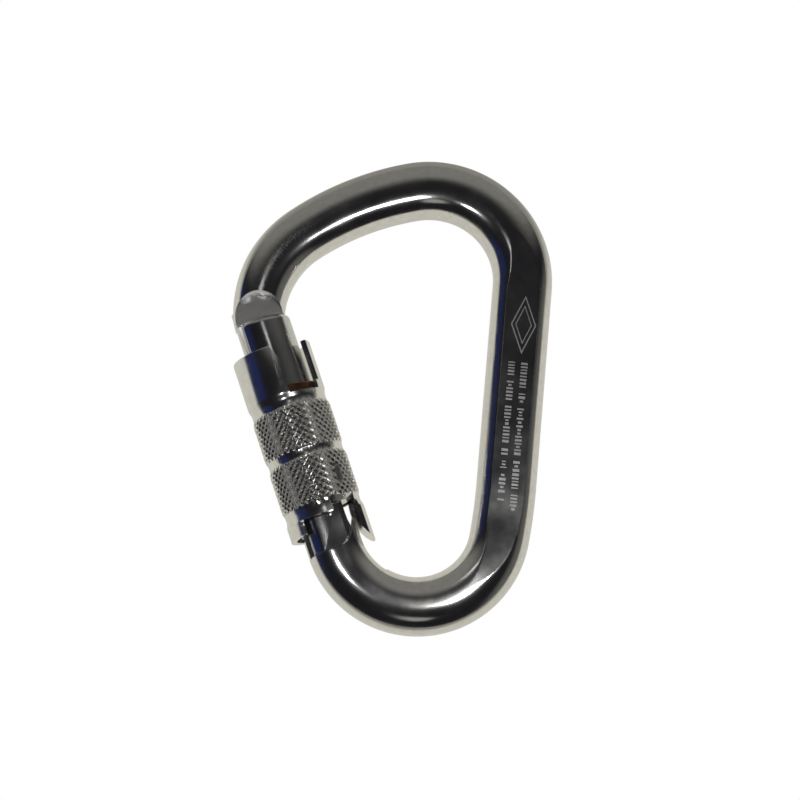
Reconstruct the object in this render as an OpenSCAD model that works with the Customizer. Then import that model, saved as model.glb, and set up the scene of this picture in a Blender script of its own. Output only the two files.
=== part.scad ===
// Auto-locking pear-shaped carabiner: bent bar loop, sprung gate and quarter-turn locking sleeve.
// X runs across the loop (spine on +X, gate on -X), Y along the spine, Z through the thickness.

/* [Bar and loop] */
// Width of the bar in the plane of the loop
bar_w = 13.3; // [12.6:0.1:13.6]
// Thickness of the bar through the loop
bar_t = 12.4; // [11.6:0.1:12.8]
// Squareness of the bar section (2 is an ellipse)
bar_square = 2.3; // [2:0.1:3]
// Depth of the pressed flat on each side of the spine
spine_flat = 0.6; // [0.2:0.1:0.9]
// Radius of the wide top bend at the spine
top_bend_r = 21.4; // [21.2:0.1:21.6]
// Radius of the long shoulder towards the nose
shoulder_r = 66; // [65.5:0.5:66.5]
// Radius of the last bend before the nose
nose_bend_r = 24.1; // [24:0.1:24.3]
// Radius of the slight bow at the foot of the spine
foot_bow_r = 126; // [124:1:128]
// Radius of the narrow lower bend
low_bend_r = 19.1; // [18.9:0.1:19.3]

/* [Gate] */
// Lean of the gate away from the spine, in degrees
gate_lean = 23.6; // [23.4:0.1:23.8]
// Diameter of the gate barrel
gate_d = 13.2; // [13:0.1:13.3]
// Length of the gate from the rivet to its top
gate_len = 51.4; // [51.2:0.1:51.5]
// Furthest opening of the gate, in degrees
gate_open = 22; // [18:1:22]
// Diameter of the hinge rivet
rivet_d = 3.2; // [2.8:0.1:3.4]
// Thickness of the hinge tang on the bar
tang_t = 5; // [4.6:0.1:5.4]
// Thickness of the nose tongue that enters the gate
nose_t = 9.2; // [8.8:0.1:9.4]
// Thickness of the neck above the nose's head
neck_t = 6.1; // [5.6:0.1:6.4]

/* [Locking sleeve] */
// Outer diameter of the sleeve
sleeve_d = 18.26; // [18:0.02:18.3]
// Diameter of the smooth necks between the bands
sleeve_neck_d = 17.46; // [17.2:0.02:17.6]
// Inner diameter of the sleeve
sleeve_bore = 15.6; // [15.5:0.1:15.8]
// Radial clearance of the sleeve on its bush and on the barrel
run_clear = 0.08; // [0.04:0.01:0.1]
// Distance from the gate's top to the sleeve's top rim
collar_top = 7.6; // [7.5:0.1:8]
// Distance from the gate's top to the floor of the sleeve's upper cut-out
slot_floor = 19.4; // [19:0.1:19.6]
// Distance from the gate's top to the rim on the outer side
low_rim = 50.85; // [50.6:0.05:50.9]
// Distance from the gate's top to the end of the locking tab
tab_end = 56.1; // [55.8:0.1:56.1]

/* [Springs] */
// Wire of the sleeve's torsion spring
twist_wire = 0.8; // [0.6:0.05:0.85]
// Turns of the sleeve's torsion spring
twist_turns = 6; // [4:1:7]
// Wire of the gate's compression spring
push_wire = 0.5; // [0.4:0.05:0.6]
// Turns of the gate's compression spring
push_turns = 7; // [5:1:8]

/* [Show] */
// Sub-part to show

/* [Hidden] */
$fn = 120;

// loop: the spine is straight, and bends follow it at both ends
spine_x = 29.45;
spine_top = 27.5;
spine_foot = -18.9;
top_turn = 106.3;
shoulder_turn = 23.8;
nose_turn = 62;
foot_turn = 5.85;
low_turn = 180 - gate_lean - foot_turn;
function arc_end(p, r, a) =
    let (s = sign(a), cx = p[0] - s * r * sin(p[2]), cy = p[1] + s * r * cos(p[2]), h = p[2] + a)
    [cx + s * r * sin(h), cy - s * r * cos(h), h];
up0 = [spine_x, spine_top, 90];
up1 = arc_end(up0, top_bend_r, top_turn);
up2 = arc_end(up1, shoulder_r, shoulder_turn);
dn0 = [spine_x, spine_foot, -90];
dn1 = arc_end(dn0, foot_bow_r, -foot_turn);
dn2 = arc_end(dn1, low_bend_r, -low_turn);

// the rivet stands on the gate's axis, a little above the end of the lower bend
hinge_up = 3.7;
hinge_x = dn2[0] - hinge_up * sin(gate_lean);
hinge_y = dn2[1] + hinge_up * cos(gate_lean);

hw = bar_w / 2;
ht = bar_t / 2;
gr = gate_d / 2;
sr = sleeve_d / 2;
snr = sleeve_neck_d / 2;
sb = sleeve_bore / 2;
function spow(v, e) = sign(v) * pow(abs(v), e);
function section(inset = 0) = [for (i = [0:35]) let (t = 10 * i)
    [(hw - inset) * spow(cos(t), 2 / bar_square), (ht - inset) * spow(sin(t), 2 / bar_square)]];
// the two gentle bends lap into their neighbours, a hair inside their surface
lap = 0.3;
lap_inset = 0.02;

// radii about the rivet that let the gate swing clear of the nose
sweep_collar = sqrt(pow(gate_len - collar_top, 2) + pow(sr, 2));
tongue_r = sweep_collar + 0.15;
pocket_r = tongue_r - 0.35;
lip_r = tongue_r + 3.5;
head_r = lip_r - 0.25;
gate_top_r = sqrt(pow(gate_len, 2) + pow(gr, 2));
nose_gap_r = gate_top_r + 0.12;
// rounding of the nose's milled flats and of the tongue, each about its own middle
nose_mid = -0.2;
nose_round = 5.5;
tongue_mid = 0.35;
tongue_round = 6.3;
// flat across the mouth of the gate's pocket
mouth_p = 4.6;
mouth_len = 9;
mouth_half = 4.7;

// hinge
rivet_r = rivet_d / 2;
ear_r = 4.1;
ear_left = 5.2;
ear_flat = 5.9;
slot_t = tang_t + 0.3;
tang_top = 4.2;
slot_top = 6;
heel_z = 0.9;
notch_top = 6.2;
plunger_p = 2;
plunger_r = 1.85;
plunger_gap = 0.04;
plunger_mid = tang_top + plunger_r + plunger_gap;
plunger_len = 4.6;
push_bore_r = 1.95;
push_bore_top = 26;

// sleeve
land_top = 36.6;
land_foot = 43.8;
bush_top = 17.2;
bush_foot = 21.4;
pin_at = 38.2;
pin_phi = 36.7;
pin_r = 0.75;
// tab relief on the inside of the lower bend
relief_r = 13.2;
tab_gap = 0.15;
swing_c = [low_bend_r * cos(gate_open) + hinge_up * sin(gate_open),
    low_bend_r * sin(gate_open) - hinge_up * cos(gate_open)];

// local frame of the gate: origin on the rivet, +X to the inside of the loop, +Y to the nose
module at_gate() {
    translate([hinge_x, hinge_y, 0]) rotate([0, 0, gate_lean]) children();
}

// turns a shape drawn about Z so that it stands on the gate's axis, with z measured down from the gate's top
module along_gate() {
    translate([0, gate_len, 0]) rotate([90, 0, 0]) children();
}

// a sector of a tube about the gate's axis: phi is measured from the front towards the inside
module sector(r0, r1, d0, d1, phi0, phi1) {
    along_gate() rotate([0, 0, 90 - phi1]) rotate_extrude(angle = phi1 - phi0)
        translate([r0, d0]) square([r1 - r0, d1 - d0]);
}

module bend(p, r, a, laps = false) {
    s = sign(a);
    cx = p[0] - s * r * sin(p[2]);
    cy = p[1] + s * r * cos(p[2]);
    start = s > 0 ? p[2] - 90 : p[2] + 90 + a;
    extra = laps ? lap / r * 180 / PI : 0;
    translate([cx, cy, 0]) rotate([0, 0, start - extra])
        rotate_extrude(angle = abs(a) + 2 * extra, $fn = 240)
            translate([r, 0]) polygon(section(laps ? lap_inset : 0));
}

module bar() {
    bend(up0, top_bend_r, top_turn);
    bend(up1, shoulder_r, shoulder_turn, laps = true);
    bend(up2, nose_bend_r, nose_turn);
    bend(dn0, foot_bow_r, -foot_turn, laps = true);
    bend(dn1, low_bend_r, -low_turn);
    translate([spine_x, spine_top, 0]) rotate([90, 0, 0])
        linear_extrude(height = spine_top - spine_foot) polygon(section());
}

// pressed flats on both faces of the spine
module spine_flats() {
    for (s = [-1, 1]) translate([spine_x - 10, spine_foot + 3, s > 0 ? ht - spine_flat : -ht - 1])
        cube([20, spine_top - spine_foot - 6, 1 + spine_flat]);
}

// space that the gate and the sleeve's collar pass through at the nose
module nose_cuts() {
    // nothing of the bar reaches past the gate's swing, apart from the tongue
    intersection() {
        cylinder(r = nose_gap_r, h = 20, center = true, $fn = 360);
        translate([-14, 30, -10]) cube([26, 30, 20]);
    }
    // milled flats on the front and the back of the nose
    for (s = [-1, 1]) translate([nose_mid, gate_len + 0.9, s * (neck_t / 2 + 3)]) {
        cylinder(r = nose_round, h = 6, center = true);
        translate([0, -5, 0]) cube([2 * nose_round, 10, 6], center = true);
    }
    // the outer side runs straight into the tongue
    translate([-14, 30, -10]) cube([8, gate_len + 0.3 - 30, 20]);
}

module tongue() {
    difference() {
        intersection() {
            union() {
                translate([-7, 40, -nose_t / 2]) cube([10, gate_len + 0.1 - 40, nose_t]);
                translate([-7, 40, -neck_t / 2]) cube([10, 15, neck_t]);
            }
            translate([tongue_mid, 56, 0]) rotate([90, 0, 0]) cylinder(r = tongue_round, h = 16);
        }
        cylinder(r = tongue_r, h = 20, center = true, $fn = 360);
        // neck behind the gate's lips
        for (s = [-1, 1]) translate([0, 0, s * (neck_t / 2 + 3)]) difference() {
            cylinder(r = gate_top_r + 0.15, h = 6, center = true, $fn = 360);
            cylinder(r = head_r, h = 7, center = true, $fn = 360);
            translate([-23.4, 50, 0]) cube([40, 20, 8], center = true);
        }
    }
}

module tang() {
    difference() {
        translate([0, 0, -tang_t / 2]) union() {
            cylinder(r = 4.6, h = tang_t);
            translate([-6.3, -4.6, 0]) cube([10.4, 4.6 + heel_z - 0.15, tang_t]);
        }
        translate([-8, tang_top, -5]) cube([16, 4, 10]);
    }
}

module body() {
    color([0.72, 0.72, 0.73]) difference() {
        union() {
            difference() {
                bar();
                spine_flats();
                at_gate() nose_cuts();
            }
            at_gate() tongue();
            // full bar up to the hinge, left standing only beside the ears
            at_gate() difference() {
                translate([0, 1.2, 0]) rotate([90, 0, 0]) linear_extrude(height = 1.2 + hinge_up) polygon(section());
                translate([-10, -4.4, -10]) cube([10, 10, 20]);
                cylinder(r = ear_r + 0.3, h = 20, center = true);
                rotate([0, 0, -gate_open]) translate([-10, 0, -10]) cube([10 + ear_r + 0.22, 10, 20]);
            }
            at_gate() tang();
        }
        // pockets for the two ears of the gate
        at_gate() for (s = [-1, 1]) translate([0, 0, s * (tang_t / 2 + 5)]) {
            cylinder(r = ear_r + 0.3, h = 10, center = true);
            translate([-5, 0.6, 0]) cube([10, 10, 10], center = true);
        }
        at_gate() cylinder(r = rivet_r + 0.05, h = 30, center = true);
        // shallow relief for the locking tab on the inside of the lower bend
        at_gate() intersection() {
            translate([low_bend_r, -hinge_up, 0]) cylinder(r = relief_r, h = 20, center = true, $fn = 240);
            translate([4, -12, -7]) cube([8, 16, 14]);
        }
    }
}

module gate() {
    color([0.6, 0.62, 0.66]) at_gate() difference() {
        union() {
            // barrel with a rounded top edge
            along_gate() rotate_extrude() union() {
                square([gr - 1.2, gate_len - notch_top]);
                translate([0, 1.2]) square([gr, gate_len - notch_top - 1.2]);
                translate([gr - 1.2, 1.2]) circle(r = 1.2);
            }
            // fork ears with a heel on the outer side
            intersection() {
                along_gate() translate([0, 0, gate_len - notch_top]) cylinder(r = gr, h = notch_top + ear_r);
                union() {
                    cylinder(r = ear_r, h = 20, center = true);
                    translate([-ear_left, -ear_r, -10]) cube([ear_left, 2 * ear_r, 20]);
                    translate([-10, heel_z, -10]) cube([10 + ear_r, 12, 20]);
                    translate([-ear_left, 0, -10]) cube([ear_left + ear_r, 8, 20]);
                }
            }
        }
        // fork slot for the tang, with the heel left standing
        translate([-5, -10, -slot_t / 2]) cube([20, 10 + slot_top, slot_t]);
        translate([-10, -10, -slot_t / 2]) cube([10, 10 + heel_z, slot_t]);
        // nose pocket, open to the outer side
        intersection() {
            difference() {
                cylinder(r = 60, h = nose_t + 0.3, center = true);
                cylinder(r = pocket_r, h = 20, center = true, $fn = 360);
            }
            translate([-10, 38, -10]) cube([13.4, 20, 20]);
            union() {
                cylinder(r = lip_r, h = 20, center = true, $fn = 360);
                translate([-10, 38, -10]) cube([6.8, 20, 20]);
                translate([-10, 38, -neck_t / 2 - 0.15]) cube([20, 20, neck_t + 0.3]);
            }
        }
        // flat milled across the mouth of the pocket, with bevelled edges
        translate([-mouth_p - 10, gate_len - mouth_len, -10]) cube([10, 20, 20]);
        for (s = [-1, 1]) translate([-mouth_p, gate_len - mouth_len, s * mouth_half]) rotate([0, s * -52, 0])
             translate([-2, 0, -2.5]) cube([2, 20, 5]);
        // bore for the plunger and its spring
        translate([plunger_p, push_bore_top, 0]) rotate([90, 0, 0])
            cylinder(r = push_bore_r, h = push_bore_top - slot_top + 1);
        // rivet holes with countersinks
        cylinder(r = rivet_r, h = 30, center = true);
        for (s = [-1, 1]) translate([0, 0, s * ear_flat]) rotate([s > 0 ? 180 : 0, 0, 0])
            cylinder(r1 = rivet_r + 1, r2 = rivet_r, h = 1);
        // flats on the ears, flush with the rivet
        for (s = [-1, 1]) translate([0, -2.3, s * (ear_flat + 2)]) cube([20, 15.4, 4], center = true);
        // stop pin hole
        along_gate() rotate([0, 0, 90 - pin_phi]) translate([4.6, 0, pin_at]) rotate([0, 90, 0])
            cylinder(r = pin_r, h = 4, $fn = 48);
    }
}

module hinge_rivet() {
    color([0.55, 0.55, 0.57]) at_gate() {
        cylinder(r = rivet_r, h = 2 * ear_flat - 1, center = true);
        for (s = [-1, 1]) translate([0, 0, s * ear_flat]) rotate([s > 0 ? 180 : 0, 0, 0])
            cylinder(r1 = rivet_r + 1, r2 = rivet_r, h = 1);
    }
}

module gate_plunger() {
    color([0.7, 0.66, 0.5]) at_gate() translate([plunger_p, plunger_mid, 0]) {
        sphere(r = plunger_r);
        rotate([-90, 0, 0]) cylinder(r = plunger_r, h = plunger_len);
        rotate([-90, 0, 0]) cylinder(r = 0.9, h = plunger_len + 1.6);
    }
}

// a closed coil of round wire about Z, from height 0 to height len
function coil_points(rad, wire, len, turns, steps, sides) =
    [for (i = [0:turns * steps]) let (t = 360 * i / steps, z = len * i / (turns * steps))
        for (j = [0:sides - 1]) let (b = 360 * j / sides)
            [(rad + wire / 2 * cos(b)) * cos(t), (rad + wire / 2 * cos(b)) * sin(t), z + wire / 2 * sin(b)]];
module coil(rad, wire, len, turns, steps, sides) {
    n = turns * steps;
    polyhedron(points = coil_points(rad, wire, len, turns, steps, sides), faces = concat(
        [[for (j = [0:sides - 1]) j]],
        [for (i = [0:n - 1]) for (j = [0:sides - 1]) let (k = (j + 1) % sides)
            [i * sides + j, (i + 1) * sides + j, (i + 1) * sides + k]],
        [for (i = [0:n - 1]) for (j = [0:sides - 1]) let (k = (j + 1) % sides)
            [i * sides + j, (i + 1) * sides + k, i * sides + k]],
        [[for (j = [sides - 1:-1:0]) n * sides + j]]));
}

module gate_spring() {
    foot = plunger_mid + plunger_len + 0.45;
    color([0.45, 0.46, 0.48]) at_gate() translate([plunger_p, foot, 0]) rotate([-90, 0, 0])
        coil(1.35, push_wire, push_bore_top - foot - 0.45, push_turns, 14, 6);
}

module lock_sleeve() {
    color([0.78, 0.78, 0.8]) at_gate() difference() {
        along_gate() rotate_extrude() difference() {
            polygon([[sb, collar_top], [sr - 0.35, collar_top], [sr, collar_top + 0.35], [sr, 18.7],
                [snr, 20.6], [snr, 21.7], [sr, 23], [sr, 31.5], [snr, 32.6], [snr, 33.8], [sr, 34.9],
                [sr, 43.7], [snr, 45], [snr, 46.1], [sr, 47.6], [sr, tab_end], [sb, tab_end], [sb, land_foot],
                [gr + run_clear, land_foot], [gr + run_clear, land_top], [sb, land_top]]);
        }
        // upper cut-out at the front, and the slot at the back that frees the nose once turned
        sector(7, 10, 0, slot_floor, 4, 55);
        intersection() {
            sector(7, 10, 0, slot_floor - 2, 50, 62);
            translate([0, gate_len - 30, 0]) rotate([0, 0, -3]) translate([0, 0, -1]) cube([8.35, 31, 12]);
        }
        intersection() {
            sector(7, 10, 0, 11, -12, 6);
            translate([0.55, gate_len - 10.8, 0]) rotate([0, 0, 22]) cube([4, 12, 12]);
        }
        translate([-nose_t / 2 - 0.2, gate_len - slot_floor, -12]) cube([nose_t + 0.4, 30, 12]);
        // lower window at the front, with its relieved upper corner
        sector(7, 10, 47.75, 60, -43, 62);
        along_gate() rotate([0, 0, 90 - 54]) rotate_extrude(angle = 43)
            polygon([[7.6, 46.1], [sr + 0.2, 44.1], [sr + 0.2, 49], [7.6, 49]]);
        sector(7, 10, 46.4, 60, 50, 58);
        // short rim round the outer side and the back, the tab stays long on the inside
        sector(7, 10, low_rim, 60, 140, 320);
        // inside of the tab follows the lower bend as the gate opens
        intersection() {
            difference() {
                translate([0, -12, -10]) cube([12, 20, 20]);
                translate([swing_c[0], swing_c[1], 0])
                    cylinder(r = relief_r - tab_gap, h = 30, center = true, $fn = 240);
            }
            sector(6, 10, 45.5, 60, 55, 145);
        }
        // blind groove that the stop pin runs in, a quarter turn long
        sector(gr - 0.5, 7.75, pin_at - pin_r - 0.1, pin_at + pin_r + 0.1, pin_phi - 97, pin_phi + 7);
        // access hole over the stop pin and slot for the spring key
        along_gate() rotate([0, 0, 90 - pin_phi]) {
            translate([7, 0, pin_at]) rotate([0, 90, 0]) cylinder(r = pin_r + 0.05, h = 4, $fn = 48);
            translate([7.5, -pin_r, pin_at]) cube([3, 2 * pin_r, 3.6]);
        }
    }
}

module sleeve_bush() {
    color([0.62, 0.36, 0.22]) at_gate() along_gate() translate([0, 0, bush_top]) difference() {
        cylinder(r = sb - run_clear, h = bush_foot - bush_top);
        translate([0, 0, -1]) cylinder(r = gr, h = 8);
    }
}

module sleeve_spring() {
    z0 = bush_foot + twist_wire / 2 + 0.1;
    z1 = land_top - twist_wire / 2 - 0.1;
    color([0.45, 0.46, 0.48]) at_gate() along_gate() translate([0, 0, z0])
        coil((gr + sb) / 2, twist_wire, z1 - z0, twist_turns, 24, 6);
}

module stop_pin() {
    color([0.5, 0.5, 0.52]) at_gate() along_gate() rotate([0, 0, 90 - pin_phi]) translate([4.6, 0, pin_at])
        rotate([0, 90, 0]) cylinder(r = pin_r, h = 3, $fn = 48);
}

module spring_key() {
    color([0.5, 0.5, 0.52]) at_gate() along_gate() rotate([0, 0, 90 - pin_phi])
        translate([7.5, -pin_r, pin_at + 0.95]) cube([1.25, 2 * pin_r, 2.65]);
}

body();
gate();
hinge_rivet();
gate_plunger();
gate_spring();
lock_sleeve();
sleeve_bush();
sleeve_spring();
stop_pin();
spring_key();
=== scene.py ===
"""Looks of a locking carabiner: polished bent bar, sprung gate and knurled locking sleeve.

Sizes are in millimetres in the object's own frame, and become metres when a piece is made.
The gate's frame has its origin on the hinge rivet: +X to the inside of the loop, +Y to the nose.
"""

import math

import bmesh
import bpy
import numpy as np
from mathutils import Matrix, Vector


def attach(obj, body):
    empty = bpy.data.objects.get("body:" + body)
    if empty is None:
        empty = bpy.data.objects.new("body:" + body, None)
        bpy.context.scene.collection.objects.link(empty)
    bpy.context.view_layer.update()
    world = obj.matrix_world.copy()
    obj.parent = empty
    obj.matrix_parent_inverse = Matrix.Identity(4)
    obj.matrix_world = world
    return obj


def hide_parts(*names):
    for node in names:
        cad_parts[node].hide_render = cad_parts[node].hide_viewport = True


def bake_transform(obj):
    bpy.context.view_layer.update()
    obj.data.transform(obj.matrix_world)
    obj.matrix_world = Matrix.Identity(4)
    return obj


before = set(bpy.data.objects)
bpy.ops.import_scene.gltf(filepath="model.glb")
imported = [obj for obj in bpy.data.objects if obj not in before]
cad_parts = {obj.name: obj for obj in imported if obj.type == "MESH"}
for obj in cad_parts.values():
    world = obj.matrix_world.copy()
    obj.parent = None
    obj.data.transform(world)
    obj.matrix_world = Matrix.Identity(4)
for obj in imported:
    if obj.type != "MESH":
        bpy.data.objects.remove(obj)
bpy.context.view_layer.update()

MM = 0.001

# ---------------------------------------------------------------- sizes, in mm
# play between parts that move past each other
PLAY = 0.15

BAR_HALF_T = 6.2
BAR_SQUARE = 2.3
SPINE_X = 29.45
SPINE_TOP = 27.5
SPINE_FOOT = -18.9
# bends as (radius, turn in degrees), up from the spine to the nose and down to the hinge
TOP_BEND = (21.4, 106.3)
SHOULDER = (66.0, 23.8)
NOSE_BEND = (24.1, 62.0)
FOOT_BOW = (126.0, -5.85)
GATE_LEAN = 23.6
LOW_BEND = (19.1, -(180 - GATE_LEAN + FOOT_BOW[1]))
HINGE_UP = 3.7
# half-width of the bar in the plane of the loop, by distance along it from the spine's foot
BAR_HALF_W = ((-63, 6.5), (-45, 6.6), (-25, 6.7), (-8, 6.8), (46, 6.85), (66, 6.7), (88, 6.7),
              (105, 6.55), (125, 6.35), (140, 5.8))
# the pressed flat's depth, and where it starts, is full, starts to fade and ends along the bar
FLAT_DEPTH = 0.75
FLAT_RAMPS = (-27.0, -6.0, 43.0, 60.0)

GATE_R = 6.6
GATE_LEN = 51.4
GATE_OPEN = 22.0
GATE_ROUND = 1.2
# the nose pocket's mouth on the gate's outer side, with edges slanted by so many degrees
MOUTH_P = 4.6
MOUTH_LEN = 9
MOUTH_HALF = 4.7
MOUTH_SLANT = 52
RIVET_R = 1.6
RIVET_END = 5.6
TANG_T = 5.0
TANG_R = 4.6
TANG_LEFT = -6.3
TANG_RIGHT = 4.1
TANG_TOP = 4.2
SLOT_T = 5.3
SLOT_TOP = 6.0
HEEL = 0.9
NOTCH_TOP = 6.2
EAR_R = 4.1
EAR_LEFT = 5.2
EAR_FLAT = 5.9
EAR_FLAT_TOP = 5.4
EAR_POCKET_R = EAR_R + 0.3
EAR_POCKET_TOP = 5.6

# the nose's flats, and the tongue below it, with a wide head on a thinner neck
NOSE_T = 9.2
NECK_T = 6.1
NOSE_MID = -0.2
NOSE_ROUND = 5.5
NOSE_LEFT = -6
NOSE_TOP = GATE_LEN + 0.9
NOSE_FOOT = GATE_LEN - 9.1
TONGUE_LEFT = -7
TONGUE_RIGHT = 3
TONGUE_FOOT = 40
TONGUE_STEP = GATE_LEN + 0.1
TONGUE_TOP = 55
TONGUE_MID = 0.35
TONGUE_ROUND = 6.3
NECK_LEFT = -3.4
LIP_LEFT = -3.2
POCKET_RIGHT = 3.4
MOUTH_FLAT = 2.4
# the milled skin on the nose's flats: how far it stands out, sinks in and keeps from the edge
SKIN_UP = 0.012
SKIN_SINK = 0.02
SKIN_INSET = 0.08

# etched marks on the spine: each row's place across it, its top and its foot
MARK_ROWS = ((1.5, 8.5, -25.5), (-1.4, 8.5, -24.0))
DASH_TALL = 1.5
DASH_SHORT = 0.8
DASH_GAP = 0.38
WORD_GAP = 1.4
LOZENGE_AT = (SPINE_X + 0.6, 17.4)
# half-width, half-height and stroke of each
LOZENGES = ((2.9, 6.9, 0.3), (1.9, 4.6, 0.22))
# how far the marks stand out and sink in
MARK_UP = 0.012
MARK_SINK = 0.01

SLEEVE_R = 9.13
NECK_R = 8.73
BORE_R = 7.8
RUN_CLEAR = 0.08
TAB_CHAMFER = 0.3
BUSH_CHAMFER = 0.2
# distances down from the gate's top
COLLAR_TOP = 7.6
COLLAR_FOOT = 18.7
WAIST_TOP = 20.6
SLOT_FLOOR = 19.4
FLARE_TOP = 46.1
FLARE_FOOT = 47.8
LOW_RIM = 50.85
TAB_END = 56.1
LAND = (36.6, 43.8)
BUSH = (17.2, 21.4)
# degrees round from the front to the inside
COLLAR_CUT = (4, 55)
WINDOW = (-43, 62)
FACET = (11, 54)
TAB = (55, 145)
BACK_RIM = (140, 320)
# radii between which an opening cuts through the sleeve's wall
WALL_CUT = (7, 10)
# the front cut-out's right side, and its slanted left side with where that starts
COLLAR_RIGHT = 8.35
COLLAR_LEAN = math.radians(-3)
SLANT = math.radians(22)
SLANT_P = 0.55
SLANT_FOOT = 10.8
# where the bevel over the window starts inside the bore, and its top on the outside
FACET_R = 7.6
FACET_TOP = 44.0

KNURL_STARTS = 34
KNURL_STEPS = 8
KNURL_DEPTH = 0.38
KNURL_R = 9.15
KNURL_SLOPE = 2.6
KNURL_BEVEL = 1.2
BANDS = ((21.7, 32.6), (33.8, 45.0))

PUSH_P = 2.0
PUSH_BORE_R = 1.95
PUSH_BORE_TOP = 26
PUSH_FOOT = 11.14
PUSH_TOP = 25.55
COIL_STEPS = 48
COIL_SIDES = 12
PIN_AT = 38.2
PIN_PHI = 36.7
PIN_R = 0.75
GROOVE_R = 7.75
GROOVE_PLAY = 7
# the key and its seat, with their ends measured down from the pin
SEAT_R = 7.5
KEY_R = 8.75
KEY_TOP = 0.95
KEY_END = 3.6
KEY_BEVEL = 0.15
RELIEF_R = 13.2

# radii about the rivet that let the gate swing clear of the nose
TONGUE_R = math.hypot(GATE_LEN - COLLAR_TOP, SLEEVE_R) + PLAY
POCKET_R = TONGUE_R - 0.35
LIP_R = TONGUE_R + 3.5
HEAD_R = LIP_R - 0.25
GATE_TOP_R = math.hypot(GATE_LEN, GATE_R)
NOSE_GAP_R = GATE_TOP_R + 0.12


# ---------------------------------------------------------------- the bar's centreline
def arc_end(start, radius, turn):
    """Where an arc of that radius and turn (degrees, positive to the left) ends: x, y and heading."""
    x, y, heading = start
    s = math.copysign(1, turn)
    a, b = math.radians(heading), math.radians(heading + turn)
    cx, cy = x - s * radius * math.sin(a), y + s * radius * math.cos(a)
    return cx + s * radius * math.sin(b), cy - s * radius * math.cos(b), heading + turn


def arc_stations(start, radius, turn, step=0.8):
    n = max(2, round(abs(math.radians(turn)) * radius / step))
    return [arc_end(start, radius, turn * (i + 1) / n) for i in range(n)]


UP_0 = (SPINE_X, SPINE_TOP, 90.0)
UP_1 = arc_end(UP_0, *TOP_BEND)
UP_2 = arc_end(UP_1, *SHOULDER)
DOWN_0 = (SPINE_X, SPINE_FOOT, -90.0)
DOWN_1 = arc_end(DOWN_0, *FOOT_BOW)
DOWN_2 = arc_end(DOWN_1, *LOW_BEND)
LEAN = math.radians(GATE_LEAN)
HINGE = (DOWN_2[0] - HINGE_UP * math.sin(LEAN), DOWN_2[1] + HINGE_UP * math.cos(LEAN))

GATE = Matrix.Translation((*HINGE, 0)) @ Matrix.Rotation(LEAN, 4, "Z")
# the gate's axis as Z, measured down from the gate's top; angle 90 degrees is the front
BARREL = GATE @ Matrix.Translation((0, GATE_LEN, 0)) @ Matrix.Rotation(math.pi / 2, 4, "X")
# the same, turned so that +X points at the stop pin
AT_PIN = BARREL @ Matrix.Rotation(math.radians(90 - PIN_PHI), 4, "Z")


# ---------------------------------------------------------------- mesh building
def mesh_object(name, verts, faces, matrix=None):
    """A mesh object from points in mm, placed by a matrix in mm."""
    co = np.asarray(verts, float)
    if matrix is not None:
        m = np.array(matrix)
        co = co @ m[:3, :3].T + m[:3, 3]
    me = bpy.data.meshes.new(name)
    me.from_pydata((co * MM).tolist(), [], [tuple(f) for f in faces])
    me.validate()
    ob = bpy.data.objects.new(name, me)
    bpy.context.scene.collection.objects.link(ob)
    return ob


def grid_faces(rings, sides, close_rings=False):
    """Quads of a tube of rings; close_rings joins the last ring to the first."""
    faces = []
    for i in range(rings if close_rings else rings - 1):
        a, b = i * sides, ((i + 1) % rings) * sides
        for j in range(sides):
            k = (j + 1) % sides
            faces.append((a + j, b + j, b + k, a + k))
    return faces


def lathe(name, profile, matrix, sides=160):
    """A closed profile of (radius, height) turned about Z; solid if it starts and ends on the axis."""
    angles = np.arange(sides) * 2 * math.pi / sides
    solid = profile[0][0] == 0
    rings = profile[1:-1] if solid else profile
    verts = [(r * math.cos(a), r * math.sin(a), z) for r, z in rings for a in angles]
    faces = grid_faces(len(rings), sides, close_rings=not solid)
    if solid:
        first, last = len(verts), len(verts) + 1
        verts += [(0, 0, profile[0][1]), (0, 0, profile[-1][1])]
        end = (len(rings) - 1) * sides
        for j in range(sides):
            k = (j + 1) % sides
            faces.append((first, j, k))
            faces.append((last, end + k, end + j))
    ob = mesh_object(name, verts, faces, matrix)
    return outward(ob)


def outward(ob):
    """Turns a closed mesh's faces outward."""
    bm = bmesh.new()
    bm.from_mesh(ob.data)
    bmesh.ops.recalc_face_normals(bm, faces=bm.faces)
    if bm.calc_volume(signed=True) < 0:
        bmesh.ops.reverse_faces(bm, faces=bm.faces)
    bm.to_mesh(ob.data)
    bm.free()
    return ob


def prism(outline, low, high, matrix=None):
    """An outline of (x, y) points between two heights."""
    n = len(outline)
    verts = [(x, y, low) for x, y in outline] + [(x, y, high) for x, y in outline]
    faces = [tuple(range(n))[::-1], tuple(range(n, 2 * n))]
    faces += [(i, (i + 1) % n, n + (i + 1) % n, n + i) for i in range(n)]
    return outward(mesh_object("tool", verts, faces, matrix))


def block(low, high, matrix=None):
    (x0, y0, z0), (x1, y1, z1) = low, high
    return prism([(x0, y0), (x1, y0), (x1, y1), (x0, y1)], z0, z1, matrix)


def disc(radius, low, high, matrix=None, centre=(0, 0), sides=160):
    angles = [2 * math.pi * i / sides for i in range(sides)]
    cx, cy = centre
    outline = [(cx + radius * math.cos(a), cy + radius * math.sin(a)) for a in angles]
    return prism(outline, low, high, matrix)


def both_faces(near, far):
    """Low and high ends of a cut from near to far, first behind the loop's plane and then in front."""
    return (-far, -near), (near, far)


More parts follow.
